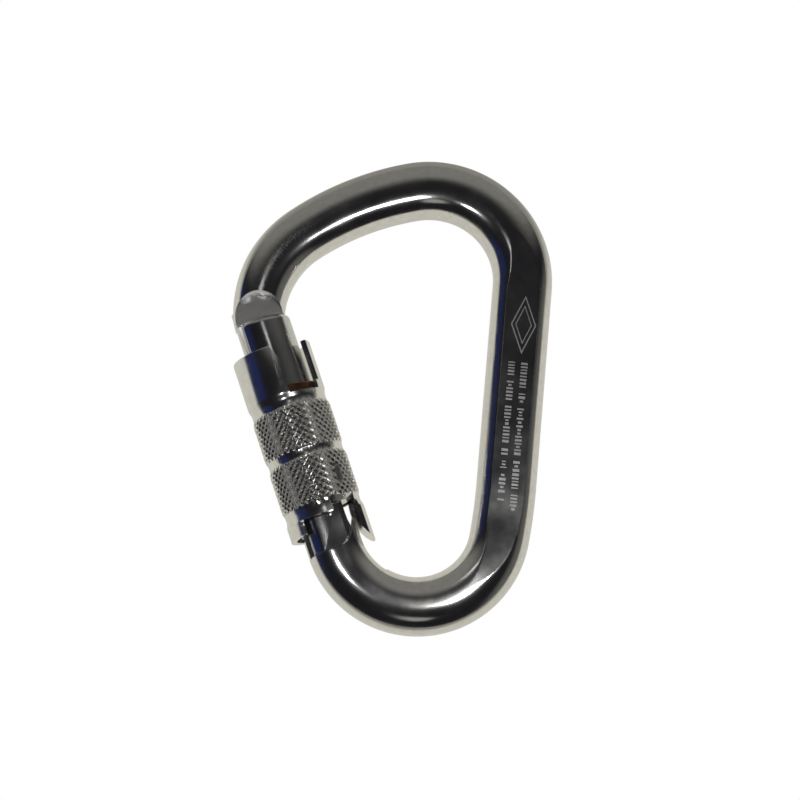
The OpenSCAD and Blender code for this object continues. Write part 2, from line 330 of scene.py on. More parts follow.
def sector(r0, r1, d0, d1, phi0, phi1):
    """A piece of a tube about the gate's axis, from phi0 to phi1 degrees round to the inside."""
    n = max(4, round((phi1 - phi0) / 2))
    angles = [math.radians(90 - phi1 + (phi1 - phi0) * i / n) for i in range(n + 1)]
    outline = [(r1 * math.cos(a), r1 * math.sin(a)) for a in angles]
    outline += [(r0 * math.cos(a), r0 * math.sin(a)) for a in reversed(angles)]
    return prism(outline, d0, d1, BARREL)


def opening(d0, d1, phi0, phi1):
    """A cut through the sleeve's wall."""
    return sector(*WALL_CUT, d0, d1, phi0, phi1)


def combine(base, tool, operation="DIFFERENCE"):
    """Cuts, joins or keeps the common part of two closed solids. The tool is used up."""
    mod = base.modifiers.new("combine", "BOOLEAN")
    mod.object = tool
    mod.operation = operation
    mod.solver = "MANIFOLD"
    depsgraph = bpy.context.evaluated_depsgraph_get()
    made = bpy.data.meshes.new_from_object(base.evaluated_get(depsgraph))
    base.modifiers.clear()
    base.data = made
    bpy.data.objects.remove(tool)
    return base


def cut(base, *tools):
    for tool in tools:
        combine(base, tool)
    return base


def join(base, *tools):
    for tool in tools:
        combine(base, tool, "UNION")
    return base


def common(base, *tools):
    for tool in tools:
        combine(base, tool, "INTERSECT")
    return base


def dress(ob, name, body, material, stands_for=None, sharp=32):
    """Names a finished piece, smooths it up to its sharp edges, and fixes it to its body if it has one."""
    ob.name = name
    ob.data.name = name
    ob.data.polygons.foreach_set("use_smooth", [True] * len(ob.data.polygons))
    ob.data.set_sharp_from_angle(angle=math.radians(sharp))
    ob.data.materials.clear()
    ob.data.materials.append(material)
    if body:
        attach(ob, body)
    if stands_for:
        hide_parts(stands_for)
    return ob


# ---------------------------------------------------------------- materials
# the rounded edges' roughness, and how much paler their colour is made as a painted highlight
EDGE_ROUGH = 0.5
EDGE_HIGHLIGHT_PALE = 1.12


def metal(name, colour, rough, spread, grain, bump, edge=0.12, tint=None, edge_rough_and_highlight=1.0):
    """Metal with fine grain along the object's axes, cloudy gloss and slightly rounded edges, which are
    rougher and get a painted highlight.
    """
    mat = bpy.data.materials.new(name)
    mat.use_nodes = True
    nodes, links = mat.node_tree.nodes, mat.node_tree.links
    shader = nodes["Principled BSDF"]
    shader.inputs["Metallic"].default_value = 1.0
    place = nodes.new("ShaderNodeTexCoord")
    stretch = nodes.new("ShaderNodeMapping")
    stretch.inputs["Scale"].default_value = grain
    links.new(place.outputs["Object"], stretch.inputs["Vector"])
    fine = nodes.new("ShaderNodeTexNoise")
    fine.inputs["Scale"].default_value = 1.0
    fine.inputs["Detail"].default_value = 4.0
    links.new(stretch.outputs["Vector"], fine.inputs["Vector"])
    cloud = nodes.new("ShaderNodeTexNoise")
    cloud.inputs["Scale"].default_value = 130.0
    cloud.inputs["Detail"].default_value = 5.0
    links.new(place.outputs["Object"], cloud.inputs["Vector"])
    gloss = nodes.new("ShaderNodeMapRange")
    gloss.inputs["From Min"].default_value = 0.3
    gloss.inputs["From Max"].default_value = 0.7
    gloss.inputs["To Min"].default_value = rough - spread
    gloss.inputs["To Max"].default_value = rough + spread
    links.new(cloud.outputs["Fac"], gloss.inputs["Value"])
    ramp = nodes.new("ShaderNodeValToRGB")
    ramp.color_ramp.elements[0].position = 0.3
    ramp.color_ramp.elements[1].position = 0.7
    dark = tint or tuple(0.9 * c for c in colour)
    ramp.color_ramp.elements[0].color = (*dark, 1)
    ramp.color_ramp.elements[1].color = (*colour, 1)
    links.new(fine.outputs["Fac"], ramp.inputs["Fac"])
    rounding = nodes.new("ShaderNodeBevel")
    rounding.samples = 4
    rounding.inputs["Radius"].default_value = edge * MM
    # rounded edges are made rougher, and their colour is made paler as a painted highlight
    shape = nodes.new("ShaderNodeNewGeometry")
    agree = nodes.new("ShaderNodeVectorMath")
    agree.operation = "DOT_PRODUCT"
    links.new(rounding.outputs["Normal"], agree.inputs[0])
    links.new(shape.outputs["Normal"], agree.inputs[1])
    edge_rough_and_highlight_mask = nodes.new("ShaderNodeMapRange")
    edge_rough_and_highlight_mask.inputs["From Min"].default_value = 0.985
    edge_rough_and_highlight_mask.inputs["From Max"].default_value = 0.9
    edge_rough_and_highlight_mask.inputs["To Max"].default_value = edge_rough_and_highlight
    links.new(agree.outputs["Value"], edge_rough_and_highlight_mask.inputs["Value"])
    rougher = nodes.new("ShaderNodeMix")
    links.new(edge_rough_and_highlight_mask.outputs["Result"], rougher.inputs["Factor"])
    links.new(gloss.outputs["Result"], rougher.inputs["A"])
    rougher.inputs["B"].default_value = max(rough, EDGE_ROUGH)
    links.new(rougher.outputs["Result"], shader.inputs["Roughness"])
    # painted highlight: a paler colour on the rounded edges
    edge_highlight_mix = nodes.new("ShaderNodeMixRGB")
    links.new(edge_rough_and_highlight_mask.outputs["Result"], edge_highlight_mix.inputs["Fac"])
    links.new(ramp.outputs["Color"], edge_highlight_mix.inputs["Color1"])
    edge_highlight_mix.inputs["Color2"].default_value = (*(min(1.0, EDGE_HIGHLIGHT_PALE * c) for c in colour), 1)
    links.new(edge_highlight_mix.outputs["Color"], shader.inputs["Base Color"])
    relief = nodes.new("ShaderNodeBump")
    relief.inputs["Strength"].default_value = bump
    relief.inputs["Distance"].default_value = 0.0001
    links.new(fine.outputs["Fac"], relief.inputs["Height"])
    links.new(rounding.outputs["Normal"], relief.inputs["Normal"])
    links.new(relief.outputs["Normal"], shader.inputs["Normal"])
    return mat


BAR_METAL = metal("bar_polished", (0.83, 0.82, 0.80), 0.16, 0.04, (700, 700, 700), 0.035)
GATE_METAL = metal("gate_polished", (0.74, 0.74, 0.74), 0.17, 0.04, (900, 250, 900), 0.05)
SLEEVE_METAL = metal("sleeve_bright", (0.86, 0.85, 0.83), 0.18, 0.03, (600, 600, 600), 0.01,
                     edge=0.1, edge_rough_and_highlight=0.0)
MILLED_METAL = metal("milled", (0.8, 0.79, 0.77), 0.34, 0.06, (1500, 400, 400), 0.15)
BRONZE = metal("bush_bronze", (0.3, 0.15, 0.1), 0.33, 0.06, (500, 500, 500), 0.08,
               tint=(0.14, 0.07, 0.05))
STEEL = metal("pin_steel", (0.5, 0.5, 0.5), 0.3, 0.06, (800, 800, 800), 0.08)
SPRING_WIRE = metal("spring_wire", (0.4, 0.4, 0.41), 0.28, 0.05, (400, 400, 400), 0.05)
BRASS = metal("plunger_brass", (0.68, 0.5, 0.24), 0.25, 0.05, (600, 600, 600), 0.05)
ETCHED = metal("etched_marks", (0.75, 0.74, 0.73), 0.5, 0.05, (3000, 3000, 3000), 0.3, edge=0.01)


# ---------------------------------------------------------------- the bar
# Tools reach well past what they cut. Some reaches differ by a hair, to keep faces that meet
# out of one plane.
def smooth_step(x):
    x = min(1.0, max(0.0, x))
    return x * x * (3 - 2 * x)


def flat_depth(s):
    """Depth of the pressed flat on the spine's faces, by distance along the bar."""
    a, b, c, d = FLAT_RAMPS
    return FLAT_DEPTH * smooth_step((s - a) / (b - a)) * smooth_step((d - s) / (d - c))


FACE_STEPS = 20
SIDE_STEPS = 44
SPINE_STEPS = 46
# distances up from the lower bend's end, the last of them just past the rivet's axis
STUB_STEPS = (1, 2, 3, HINGE_UP + 1.2)


def bar_section(s):
    """The bar's outline at distance s: points of (outward, up), from the outer side over the front."""
    half = float(np.interp(s, *zip(*BAR_HALF_W)))
    depth = flat_depth(s)
    level = 1 - depth / BAR_HALF_T
    power = 2 / BAR_SQUARE
    edge = min(math.degrees(math.asin(level ** (1 / power))), 78.0)

    def on_curve(t):
        c, w = math.cos(math.radians(t)), math.sin(math.radians(t))
        return half * math.copysign(abs(c) ** power, c), BAR_HALF_T * math.copysign(abs(w) ** power, w)

    side = [on_curve(-edge + 2 * edge * i / SIDE_STEPS) for i in range(SIDE_STEPS)]
    reach = on_curve(edge)[0]
    face = []
    for i in range(FACE_STEPS):
        a = reach * (1 - 2 * i / FACE_STEPS)
        z = BAR_HALF_T * (1 - abs(a / half) ** BAR_SQUARE) ** (1 / BAR_SQUARE)
        face.append((a, min(z, BAR_HALF_T - depth)))
    front = side + face
    back = [(-a, -z) for a, z in front]
    return front + back


def bar_stations():
    """Stations from the hinge to the nose, each with its distance along the bar from the spine's foot."""
    down = arc_stations(DOWN_0, *FOOT_BOW) + arc_stations(DOWN_1, *LOW_BEND)
    x, y, heading = DOWN_2
    stub = [(x - t * math.sin(LEAN), y + t * math.cos(LEAN), heading) for t in STUB_STEPS]
    rise = SPINE_TOP - SPINE_FOOT
    spine = [(SPINE_X, SPINE_FOOT + rise * i / SPINE_STEPS, 90.0) for i in range(SPINE_STEPS + 1)]
    up = arc_stations(UP_0, *TOP_BEND) + arc_stations(UP_1, *SHOULDER) + arc_stations(UP_2, *NOSE_BEND)
    path = [(x, y, h + 180) for x, y, h in reversed(down + stub)] + spine + up
    gaps = [math.dist(p[:2], q[:2]) for p, q in zip(path, path[1:])]
    along = np.concatenate([[0], np.cumsum(gaps)])
    along -= along[len(down + stub)]
    return path, along


def swept_bar():
    path, along = bar_stations()
    verts = []
    for (x, y, heading), s in zip(path, along):
        h = math.radians(heading)
        verts += [(x + a * math.sin(h), y - a * math.cos(h), z) for a, z in bar_section(float(s))]
    sides = 2 * (FACE_STEPS + SIDE_STEPS)
    faces = grid_faces(len(path), sides)
    faces += [tuple(range(sides)), tuple(range(len(verts) - sides, len(verts)))[::-1]]
    return outward(mesh_object("bar", verts, faces))


def nose_tongue():
    """The T-shaped tongue below the nose, which the gate's lips hold."""
    tongue = block((TONGUE_LEFT, TONGUE_FOOT, -NOSE_T / 2), (TONGUE_RIGHT, TONGUE_STEP, NOSE_T / 2), GATE)
    low_corner = (TONGUE_LEFT + 0.01, TONGUE_FOOT + 0.01, -NECK_T / 2)
    join(tongue, block(low_corner, (TONGUE_RIGHT - 0.01, TONGUE_TOP, NECK_T / 2), GATE))
    upright = GATE @ Matrix.Rotation(-math.pi / 2, 4, "X") @ Matrix.Scale(-1, 4, (0, 0, 1))
    common(tongue, disc(TONGUE_ROUND, -TONGUE_TOP - 1, -TONGUE_FOOT, upright, (TONGUE_MID, 0)))
    cut(tongue, disc(TONGUE_R, -10, 10, GATE, sides=720))
    for (low, high), (flat_low, flat_high) in zip(both_faces(NECK_T / 2, 10), both_faces(MOUTH_FLAT, 10)):
        waist = disc(GATE_TOP_R + PLAY, low, high, GATE, sides=720)
        outer_side = block((NECK_LEFT - 40, 40, -12), (NECK_LEFT, 60, 12), GATE)
        cut(waist, disc(HEAD_R, -11, 11, GATE, sides=720), outer_side)
        cut(tongue, waist)
        # flat beside the gate's mouth
        cut(tongue, block((-7.5, 39, flat_low), (-MOUTH_P - 0.02, GATE_LEN + 0.3, flat_high), GATE))
    return tongue


def hinge_tang():
    tang = disc(TANG_R, -TANG_T / 2, TANG_T / 2, GATE)
    join(tang, block((TANG_LEFT, -TANG_R, -TANG_T / 2), (TANG_RIGHT, HEEL - PLAY, TANG_T / 2), GATE))
    return cut(tang, block((-8, TANG_TOP, -5), (8, 9, 5), GATE))


def mill_nose(bar):
    """Room for the gate's swing, rounded flats on the front and back, and a flat on the outer side."""
    swing = disc(NOSE_GAP_R, -10, 10, GATE, sides=720)
    cut(bar, common(swing, block((-14, 30, -11), (12, 60, 11), GATE)))
    left, right_side = NOSE_MID - NOSE_ROUND, NOSE_MID + NOSE_ROUND
    for low, high in both_faces(NECK_T / 2, 9):
        cut(bar, disc(NOSE_ROUND, low, high, GATE, (NOSE_MID, NOSE_TOP)))
        cut(bar, block((left, NOSE_FOOT, low), (right_side, NOSE_TOP, high), GATE))
    cut(bar, block((-14, 30, -10), (NOSE_LEFT, GATE_LEN + 5, 10), GATE))


def make_bar():
    bar = swept_bar()
    mill_nose(bar)
    # pockets round the ears of the gate, at rest and open, then the tang between them
    cut(bar, block((-10, -EAR_POCKET_R, -10), (0, EAR_POCKET_TOP, 10), GATE))
    cut(bar, disc(EAR_POCKET_R, -10, 10, GATE))
    tilt = GATE @ Matrix.Rotation(-math.radians(GATE_OPEN), 4, "Z")
    cut(bar, block((-10, 0, -10), (EAR_R + 0.22, 10, 10), tilt))
    join(bar, nose_tongue(), hinge_tang())
    cut(bar, disc(RIVET_R + 0.05, -15, 15, GATE, sides=64))
    # relief on the inside of the lower bend, where the sleeve's tab passes
    relief = disc(RELIEF_R, -10, 10, GATE, (LOW_BEND[0], -HINGE_UP), sides=360)
    cut(bar, common(relief, block((4, -12, -7), (12, 4, 7), GATE)))
    return dress(bar, "bar", "frame_bar", BAR_METAL, "body", sharp=24)


def make_nose_faces():
    """Coarser milled skin on the nose's front and back flats."""
    skins = None
    for low, high in both_faces(NECK_T / 2 - SKIN_SINK, NECK_T / 2 + SKIN_UP):
        skin = disc(NOSE_ROUND - SKIN_INSET, low, high, GATE, (NOSE_MID, NOSE_TOP))
        cut(skin, disc(NOSE_GAP_R + 0.06, -10, 10, GATE, sides=720))
        cut(skin, block((-14, 30, -10), (NOSE_LEFT + 0.1, 70, 10), GATE))
        skins = skin if skins is None else join(skins, skin)
    return dress(skins, "nose_milled", "frame_bar", MILLED_METAL)


def dash_boxes():
    """Rows of short dashes as (x0, x1, y0, y1)."""
    rng = np.random.default_rng(7)
    boxes = []
    for row, start, end in MARK_ROWS:
        x, y = SPINE_X + row, start
        while y > end:
            length = 0.25 + 0.4 * rng.random()
            tall = DASH_TALL if rng.random() > 0.3 else DASH_SHORT
            boxes.append((x - tall / 2, x + tall / 2, y - length, y))
            y -= length + (DASH_GAP if rng.random() > 0.18 else WORD_GAP)
    return boxes


def make_marks():
    """Generic etched marks on the spine's front: a lozenge and two rows of short dashes."""
    level = BAR_HALF_T - FLAT_DEPTH
    verts, faces = [], []

    def plate(points):
        n, k = len(points), len(verts)
        for z in (level - MARK_SINK, level + MARK_UP):
            verts.extend([(x, y, z) for x, y in points])
        faces.append(tuple(range(k + n - 1, k - 1, -1)))
        faces.append(tuple(range(k + n, k + 2 * n)))
        faces.extend([(k + i, k + (i + 1) % n, k + n + (i + 1) % n, k + n + i) for i in range(n)])

    for x0, x1, y0, y1 in dash_boxes():
        plate([(x0, y0), (x1, y0), (x1, y1), (x0, y1)])
    # each lozenge is drawn as four strokes
    cx, cy = LOZENGE_AT
    for w, h, t in LOZENGES:
        corners = [(0, h), (w, 0), (0, -h), (-w, 0)]
        inner = [(0, h - 2.2 * t), (w - t, 0), (0, -h + 2.2 * t), (-w + t, 0)]
        for i in range(4):
            stroke = (corners[i], corners[(i + 1) % 4], inner[(i + 1) % 4], inner[i])
            plate([(cx + x, cy + y) for x, y in stroke][::-1])
    ob = outward(mesh_object("marks", verts, faces))
    return dress(ob, "etched_marks", "frame_bar", ETCHED)


# ---------------------------------------------------------------- the gate
def nose_pocket():
    """Pocket for the nose's tongue in the gate, with lips that hold its head."""
    pocket = disc(60, -NOSE_T / 2 - PLAY, NOSE_T / 2 + PLAY, GATE)
    cut(pocket, disc(POCKET_R, -10, 10, GATE, sides=720))
    common(pocket, block((-10, 38, -10), (POCKET_RIGHT, 58, 10), GATE))
    lips = disc(LIP_R, -10, 10, GATE, sides=720)
    join(lips, block((-10.1, 37, -10.1), (LIP_LEFT, 59, 10.1), GATE))
    join(lips, block((-10.2, 37, -NECK_T / 2 - PLAY), (10, 59, NECK_T / 2 + PLAY), GATE))
    return common(pocket, lips)


def make_gate():
    angles = [math.radians(a) for a in range(0, 91, 6)]
    flat_r = GATE_R - GATE_ROUND
    round_top = [(flat_r + GATE_ROUND * math.sin(a), GATE_ROUND * (1 - math.cos(a))) for a in angles]
    end = GATE_LEN + EAR_R
    gate = lathe("gate", [(0, 0), *round_top, (GATE_R, end), (0, end)], BARREL, sides=256)
    # below the notch only the fork's ears and heel are left
    keep = disc(EAR_R, -10, 10, GATE)
    join(keep, block((-EAR_LEFT, -EAR_R, -10), (0, EAR_R, 10), GATE))
    join(keep, block((-10, HEEL, -10), (EAR_R, HEEL + 12, 10), GATE))
    join(keep, block((-EAR_LEFT, 0, -9.9), (EAR_R - 0.001, 8, 9.9), GATE))
    join(keep, block((-12, NOTCH_TOP, -12), (12, 60, 12), GATE))
    common(gate, keep)
    cut(gate, block((-5, -10, -SLOT_T / 2), (15, SLOT_TOP, SLOT_T / 2), GATE))
    cut(gate, block((-10, -10, -SLOT_T / 2), (0, HEEL, SLOT_T / 2), GATE))
    cut(gate, nose_pocket())
    # the pocket's mouth on the outer side, with slanted edges, and the ears' flat faces
    mouth_foot = GATE_LEN - MOUTH_LEN
    cut(gate, block((-MOUTH_P - 10, mouth_foot, -10), (-MOUTH_P, mouth_foot + 20, 10), GATE))
    for s, (low, high) in zip((-1, 1), both_faces(EAR_FLAT, 9)):
        corner = GATE @ Matrix.Translation((-MOUTH_P, mouth_foot, s * MOUTH_HALF))
        slanted = corner @ Matrix.Rotation(math.radians(-s * MOUTH_SLANT), 4, "Y")
        cut(gate, block((-2, 0, -2.5), (0, 20, 2.5), slanted))
        cut(gate, block((-10, -10, low), (10, EAR_FLAT_TOP, high), GATE))
    lengthways = GATE @ Matrix.Rotation(math.pi / 2, 4, "X")
    cut(gate, disc(PUSH_BORE_R, -PUSH_BORE_TOP, PUSH_BORE_TOP, lengthways, (PUSH_P, 0), sides=64))
    cut(gate, disc(RIVET_R, -RIVET_END, RIVET_END, GATE, sides=64))
    return dress(gate, "gate", "gate_arm", GATE_METAL, "gate")


def make_rivet():
    """The rivet's shank, which ends just under the ears' flat faces."""
    ob = disc(RIVET_R, -RIVET_END, RIVET_END, GATE, sides=96)
    return dress(ob, "hinge_rivet_polished", "gate_arm", GATE_METAL, "hinge_rivet")


def make_bush():
    outer, inner = BORE_R - RUN_CLEAR, GATE_R
    top, foot = BUSH
    chamfer = [(outer - BUSH_CHAMFER, top), (outer, top + BUSH_CHAMFER)]
    profile = [(inner, top), *chamfer, (outer, foot), (inner, foot)]
    ob = lathe("bush", profile, BARREL)
    return dress(ob, "bush_ring", "gate_arm", BRONZE, "sleeve_bush")


# ---------------------------------------------------------------- the sleeve
def knurl_height(i, row):
    """Height of the diamond knurl, 0 in a groove and 1 on a point, at an angular step and a row."""
    lift = []
    for phase in (i + row, i - row):
        f = (phase % KNURL_STEPS) / KNURL_STEPS
        lift.append(min(1.0, KNURL_SLOPE * min(f, 1 - f)))
    return min(lift)


def sleeve_rows():
    """The sleeve's outside from top to bottom as (radius, distance down, knurl row or None)."""
    step = 2 * math.pi * KNURL_R / KNURL_STARTS / KNURL_STEPS
    rows = [(SLEEVE_R - 0.35, COLLAR_TOP, None), (SLEEVE_R - 0.1, COLLAR_TOP + 0.08, None)]
    rows += [(SLEEVE_R, COLLAR_TOP + 0.35, None), (SLEEVE_R, COLLAR_FOOT, None)]
    # the collar narrows to the neck in a half wave
    for t in range(1, 9):
        wave = 1 + math.cos(math.pi * t / 8)
        d = COLLAR_FOOT + (WAIST_TOP - COLLAR_FOOT) * t / 8
        rows.append((NECK_R + (SLEEVE_R - NECK_R) / 2 * wave, d, None))
    for top, foot in BANDS:
        for n in range(int((foot - top) / step) + 1):
            d = top + n * step
            edge = min(d - top, foot - d)
            r = NECK_R + (KNURL_R - NECK_R) * min(1.0, edge / KNURL_BEVEL)
            rows.append((r, d, n))
    rows += [(NECK_R, FLARE_TOP, None), (SLEEVE_R - 0.03, FLARE_FOOT - 0.25, None)]
    rows += [(SLEEVE_R, FLARE_FOOT, None), (SLEEVE_R, TAB_END - TAB_CHAMFER, None)]
    rows += [(SLEEVE_R - TAB_CHAMFER, TAB_END, None)]
    return rows


def knurled_faces(heights, sides):
    """Triangles of a closed tube of rings, with each quad split along the groove that crosses it."""
    faces = []
    for a, b, c, d in grid_faces(len(heights) // sides, sides, close_rings=True):
        if heights[a] + heights[c] <= heights[b] + heights[d]:
            faces += [(a, b, c), (a, c, d)]
        else:
            faces += [(a, b, d), (b, c, d)]
    return faces


def sleeve_blank():
    """The sleeve before its cut-outs: knurled outside, with a land in the bore that runs on the barrel."""
    sides = KNURL_STARTS * KNURL_STEPS
    angles = [2 * math.pi * i / sides for i in range(sides)]
    verts, heights = [], []
    for r, d, n in sleeve_rows():
        for i, a in enumerate(angles):
            radius = r
            if n is not None:
                radius = min(r, KNURL_R - KNURL_DEPTH * (1 - knurl_height(i, n)))
            heights.append(radius)
            verts.append((radius * math.cos(a), radius * math.sin(a), d))
    land_r = GATE_R + RUN_CLEAR
    bore = [(BORE_R, TAB_END), (BORE_R, LAND[1]), (land_r, LAND[1])]
    bore += [(land_r, LAND[0]), (BORE_R, LAND[0]), (BORE_R, COLLAR_TOP)]
    for r, d in bore:
        verts += [(r * math.cos(a), r * math.sin(a), d) for a in angles]
        heights += [r] * sides
    return outward(mesh_object("sleeve", verts, knurled_faces(heights, sides), BARREL))


def cut_collar(sleeve):
    """The front cut-out, slanted on the left and nearly straight on the right, and the slot at the back."""
    cut(sleeve, opening(0, SLOT_FLOOR, *COLLAR_CUT))
    right_side = opening(-1, SLOT_FLOOR - 2, COLLAR_CUT[1] - 5, COLLAR_CUT[1] + 7)
    leaning = GATE @ Matrix.Translation((0, GATE_LEN - 30, 0)) @ Matrix.Rotation(COLLAR_LEAN, 4, "Z")
    common(right_side, block((0, -1, -1), (COLLAR_RIGHT, 30, 12), leaning))
    left_side = opening(-1, 11, COLLAR_CUT[0] - 16, COLLAR_CUT[0] + 2)
    corner = GATE @ Matrix.Translation((SLANT_P, GATE_LEN - SLANT_FOOT, 0))
    slanted = corner @ Matrix.Rotation(SLANT, 4, "Z")
    common(left_side, block((0, 0, 0), (4, 12, 12), slanted))
    cut(sleeve, right_side, left_side)
    half = NOSE_T / 2 + 0.2
    cut(sleeve, block((-half, GATE_LEN - SLOT_FLOOR, -12), (half, GATE_LEN + 10, 0), GATE))


def cut_window(sleeve):
    """The lower window, its bevelled upper corner, and the short rim at the back."""
    cut(sleeve, opening(FLARE_FOOT - 0.05, 60, *WINDOW))
    cut(sleeve, opening(46.4, 60, 50, 58))
    outer = SLEEVE_R + 0.3
    facet = lathe("tool", [(FACET_R, FLARE_TOP), (outer, FACET_TOP), (outer, 49), (FACET_R, 49)], BARREL)
    cut(sleeve, common(facet, sector(7, 12, 40, 50, *FACET)))
    cut(sleeve, opening(LOW_RIM, 60, *BACK_RIM))


def bevel_tab(sleeve):
    """Lets the tab's inside follow the lower bend as the gate opens."""
    turn = math.radians(GATE_OPEN)
    c, s = math.cos(turn), math.sin(turn)
    centre = (LOW_BEND[0] * c + HINGE_UP * s, LOW_BEND[0] * s - HINGE_UP * c)
    bevel = block((0, -12, -10), (12, 8, 10), GATE)
    cut(bevel, disc(RELIEF_R - PLAY, -15, 15, GATE, centre, sides=360))
    cut(sleeve, common(bevel, sector(6, 10, 45.5, 60, *TAB)))


def seat_pin(sleeve):
    """Hidden groove for the stop pin, its access hole and the key's seat."""
    half = PIN_R + 0.1
    start, end = PIN_PHI - 90 - GROOVE_PLAY, PIN_PHI + GROOVE_PLAY
    cut(sleeve, sector(GATE_R - 0.5, GROOVE_R, PIN_AT - half, PIN_AT + half, start, end))
    side_on = AT_PIN @ Matrix.Translation((0, 0, PIN_AT)) @ Matrix.Rotation(math.pi / 2, 4, "Y")
    cut(sleeve, disc(PIN_R + 0.05, 7, 11, side_on, sides=48))
    cut(sleeve, block((SEAT_R, -PIN_R, PIN_AT), (10.5, PIN_R, PIN_AT + KEY_END), AT_PIN))


def make_sleeve():
    sleeve = sleeve_blank()
    cut_collar(sleeve)
    cut_window(sleeve)
    bevel_tab(sleeve)
    seat_pin(sleeve)
    return dress(sleeve, "sleeve_knurled", "sleeve", SLEEVE_METAL, "lock_sleeve",
                 sharp=22)


def make_key():
    ob = block((SEAT_R, -PIN_R, PIN_AT + KEY_TOP), (KEY_R, PIN_R, PIN_AT + KEY_END), AT_PIN)
    bevel = ob.modifiers.new("bevel", "BEVEL")
    bevel.width = KEY_BEVEL * MM
    bevel.segments = 3
    return dress(ob, "key", "sleeve", STEEL, "spring_key")


def coil(name, body, matrix, radius, wire, length, turns, stands_for):
    """A spring of round wire about Z, from height 0 to length."""
    steps, sides = turns * COIL_STEPS, COIL_SIDES
    verts = []
    for n in range(steps + 1):
        t = 2 * math.pi * n / COIL_STEPS
        z = length * n / steps
        for j in range(sides):
            b = 2 * math.pi * j / sides
            r = radius + wire / 2 * math.cos(b)
            verts.append((r * math.cos(t), r * math.sin(t), z + wire / 2 * math.sin(b)))
    faces = grid_faces(steps + 1, sides)
    faces += [tuple(range(sides)), tuple(range(len(verts) - sides, len(verts)))[::-1]]
    ob = outward(mesh_object(name, verts, faces, matrix))
    return dress(ob, name, body, SPRING_WIRE, stands_for)


def make_springs():
    """The sleeve's torsion spring, and the push spring, whose foot moves with the plunger."""
    wire, gap = 0.8, 0.5
    top, foot = BUSH[1] + gap, LAND[0] - gap
    place = BARREL @ Matrix.Translation((0, 0, top))
    coil("twist_coil", "gate_arm", place, (GATE_R + BORE_R) / 2, wire, foot - top, 6, "sleeve_spring")
    place = GATE @ Matrix.Translation((PUSH_P, PUSH_FOOT, 0)) @ Matrix.Rotation(-math.pi / 2, 4, "X")
    push = coil("push_coil", None, place, 1.35, 0.5, PUSH_TOP - PUSH_FOOT, 7, "gate_spring")
    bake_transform(push)


def finish_hidden():
    """The stop pin and the plunger keep their own shapes and get a metal each."""
    for node, material in (("stop_pin", STEEL), ("gate_plunger", BRASS)):
        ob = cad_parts[node]
        ob.data.materials.clear()
        ob.data.materials.append(material)


make_bar()
make_nose_faces()
make_marks()
make_gate()
make_rivet()
make_bush()
make_sleeve()
make_key()
make_springs()
finish_hidden()


# ---------------------------------------------------------------- camera
FLOOR_TILT = math.radians(2.7)
CAMERA_PITCH = math.radians(13.1)
CAMERA_ROLL = math.radians(5.07)
CAMERA_DISTANCE = 580.0
SENSOR = 36.0
CAMERA_AIM = Vector((3.6, -1.7, 0.0))
FIELD = 183.0

floor_up = Vector((-math.sin(FLOOR_TILT), 0, math.cos(FLOOR_TILT)))
toward_foot = Vector((math.sin(CAMERA_ROLL), -math.cos(CAMERA_ROLL), 0))
toward_foot = (toward_foot - floor_up * toward_foot.dot(floor_up)).normalized()
back = floor_up * math.cos(CAMERA_PITCH) + toward_foot * math.sin(CAMERA_PITCH)
up = floor_up * math.sin(CAMERA_PITCH) - toward_foot * math.cos(CAMERA_PITCH)
right = up.cross(back).normalized()


def make_camera():
    data = bpy.data.cameras.new("camera")
    data.sensor_width = SENSOR
    data.lens = SENSOR * CAMERA_DISTANCE / FIELD
    data.clip_start = 0.01
    data.clip_end = 20
    cam = bpy.data.objects.new("camera", data)
    bpy.context.scene.collection.objects.link(cam)
    turn = Matrix((right, up, back)).transposed().to_4x4()
    cam.matrix_world = Matrix.Translation((CAMERA_AIM + back * CAMERA_DISTANCE) * MM) @ turn
    bpy.context.scene.camera = cam


def toward(across, upward, out):
    """A direction given as the viewer sees it: to the right, upward, and out of the picture."""
    return (right * across + up * upward + back * out).normalized()


